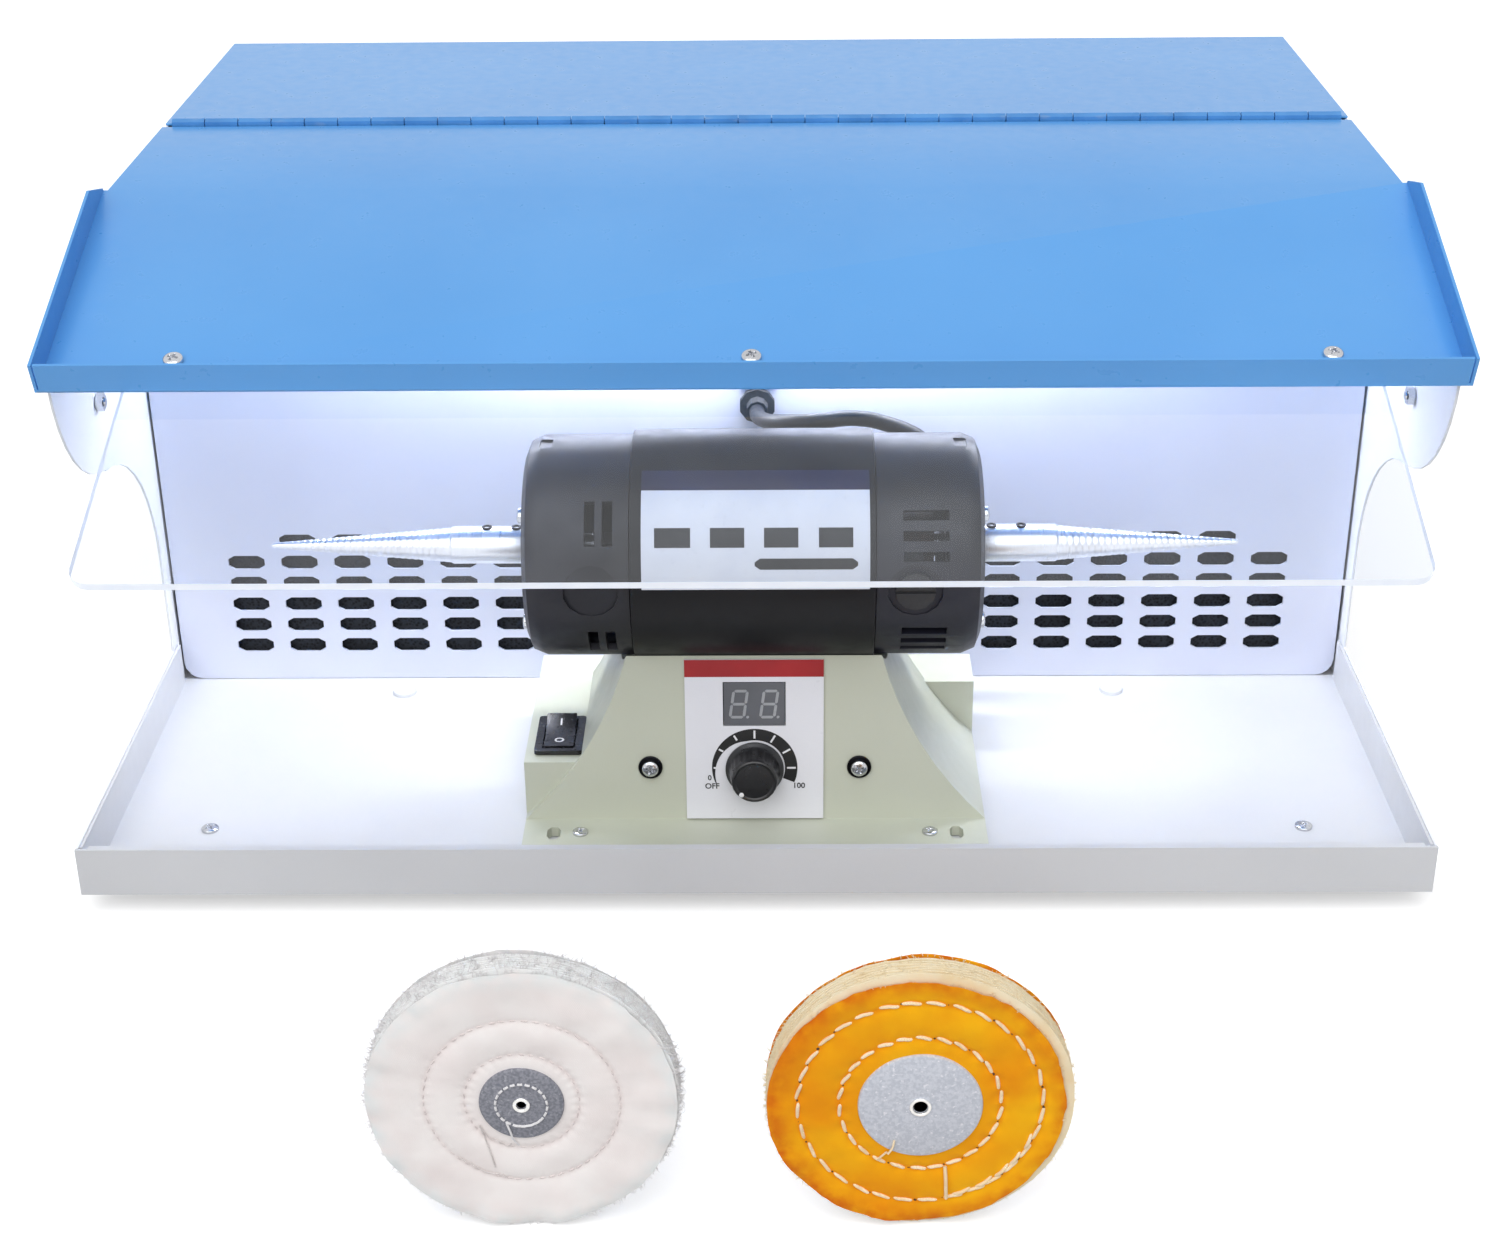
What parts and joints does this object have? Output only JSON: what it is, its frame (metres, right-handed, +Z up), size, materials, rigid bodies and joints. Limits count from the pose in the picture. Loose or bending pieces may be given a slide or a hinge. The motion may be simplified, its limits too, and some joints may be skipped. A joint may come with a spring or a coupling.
{
  "type": "bench buffer",
  "caption": "Double-ended polishing motor with tapered spindles on a pedestal in a tray under a hinged hood with a clear shield, with loose stitched wheels in front",
  "frame": {"origin": "the middle of the footprint of the machine and its loose wheels, on the surface that the feet stand on", "axes": "+X to the right as seen from the front, along the motor shaft; +Y from the open front to the rear wall; +Z up"},
  "size_m": [0.546, 0.6142, 0.2558],
  "materials": {
    "white_paint": "white powder coat, semi-gloss",
    "blue_paint": "sky blue powder coat, semi-gloss",
    "lilac_paint": "pale lilac-white powder coat",
    "beige_paint": "grey-beige enamel on a casting",
    "black_enamel": "gloss black enamel",
    "steel": "bright zinc-plated steel",
    "screw_chrome": "bright plated screw",
    "spindle_steel": "satin chrome plated",
    "lamp_aluminium": "anodised channel",
    "lens": "opal diffuser",
    "acrylic": null,
    "black_plastic": "black moulded plastic",
    "black_gloss_plastic": "gloss black moulded plastic",
    "control_plate": "white plate with a bare red strip",
    "display": "smoked display window, unlit",
    "board": "green circuit board",
    "laminate": "stacked laminations",
    "copper": "turned copper",
    "rubber": "black rubber",
    "filter": "dark filter mat",
    "white_cloth": "stitched white cotton",
    "yellow_cloth": "stitched yellow treated cotton",
    "grey_hub": "grey pressed hub disc",
    "pale_hub": "mottled pale grey hub disc"
  },
  "bodies": {
    "root": {"base_tray": "white_paint", "left_side_panel": "white_paint", "right_side_panel": "white_paint", "rear_wall": "white_paint", "hood_rear_panel": "blue_paint", "grille_panel": "lilac_paint", "filter_mat": "filter", "rubber_foot_front_left": "rubber", "rubber_foot_front_right": "rubber", "rubber_foot_rear_left": "rubber", "rubber_foot_rear_right": "rubber", "hinge_leaf_fixed": "steel", "hinge_pin": "steel", "side_bolt_left": "screw_chrome", "side_bolt_right": "screw_chrome", "fan_frame_left": "black_plastic", "fan_frame_right": "black_plastic", "power_inlet": "black_plastic", "lamp_channel": "lamp_aluminium", "lamp_lens": "lens", "pedestal": "beige_paint", "switch_body": "black_gloss_plastic", "control_plate": "control_plate", "digital_display": "display", "control_board": "board", "face_screw_left": "screw_chrome", "face_screw_right": "screw_chrome", "motor_can": "black_enamel", "left_end_bell": "black_enamel", "right_end_bell": "black_enamel", "stator_core": "laminate", "bearing_left": "steel", "bearing_right": "steel", "brush_front": "black_plastic", "brush_rear": "black_plastic", "panel_grommet": "rubber", "cable_clip": "steel", "lead_gland": "rubber", "motor_lead": "rubber", "white_buff": "white_cloth", "white_buff_hub": "grey_hub", "yellow_buff": "yellow_cloth", "yellow_buff_hub": "pale_hub"},
    "hood": {"hood_flap": "blue_paint", "hinge_leaf_moving": "steel", "clear_shield": "acrylic", "shield_bolt_left": "screw_chrome", "shield_bolt_middle": "screw_chrome", "shield_bolt_right": "screw_chrome"},
    "rotor": {"motor_shaft": "steel", "armature": "laminate", "commutator": "copper", "cooling_fan": "black_plastic", "left_spindle": "spindle_steel", "right_spindle": "spindle_steel"},
    "knob": {"speed_knob": "black_gloss_plastic"},
    "rocker": {"switch_rocker": "black_gloss_plastic"},
    "fan_left": {"fan_rotor_left": "black_plastic"},
    "fan_right": {"fan_rotor_right": "black_plastic"}
  },
  "joints": [
    {"name": "hood_hinge", "type": "hinge", "parent": "root", "child": "hood", "pos_m": [0, 0.1478, 0.2506], "axis": [-1, 0, 0], "range_deg": [0, 165]},
    {"name": "rotor_spin", "type": "hinge", "parent": "root", "child": "rotor", "pos_m": [0, -0.0372, 0.1245], "axis": [1, 0, 0], "continuous": true},
    {"name": "knob_turn", "type": "hinge", "parent": "root", "child": "knob", "pos_m": [0, -0.07311, 0.03991], "axis": [0, 0.9962, -0.0872], "range_deg": [0, 280]},
    {"name": "rocker_tip", "type": "hinge", "parent": "root", "child": "rocker", "pos_m": [-0.0818, -0.0508, 0.0419], "axis": [-1, 0, 0], "range_deg": [0, 16]},
    {"name": "fan_spin_left", "type": "hinge", "parent": "root", "child": "fan_left", "pos_m": [-0.12, 0.29, 0.128], "axis": [0, 1, 0], "continuous": true},
    {"name": "fan_spin_right", "type": "hinge", "parent": "root", "child": "fan_right", "pos_m": [0.12, 0.29, 0.128], "axis": [0, 1, 0], "continuous": true}
  ]
}
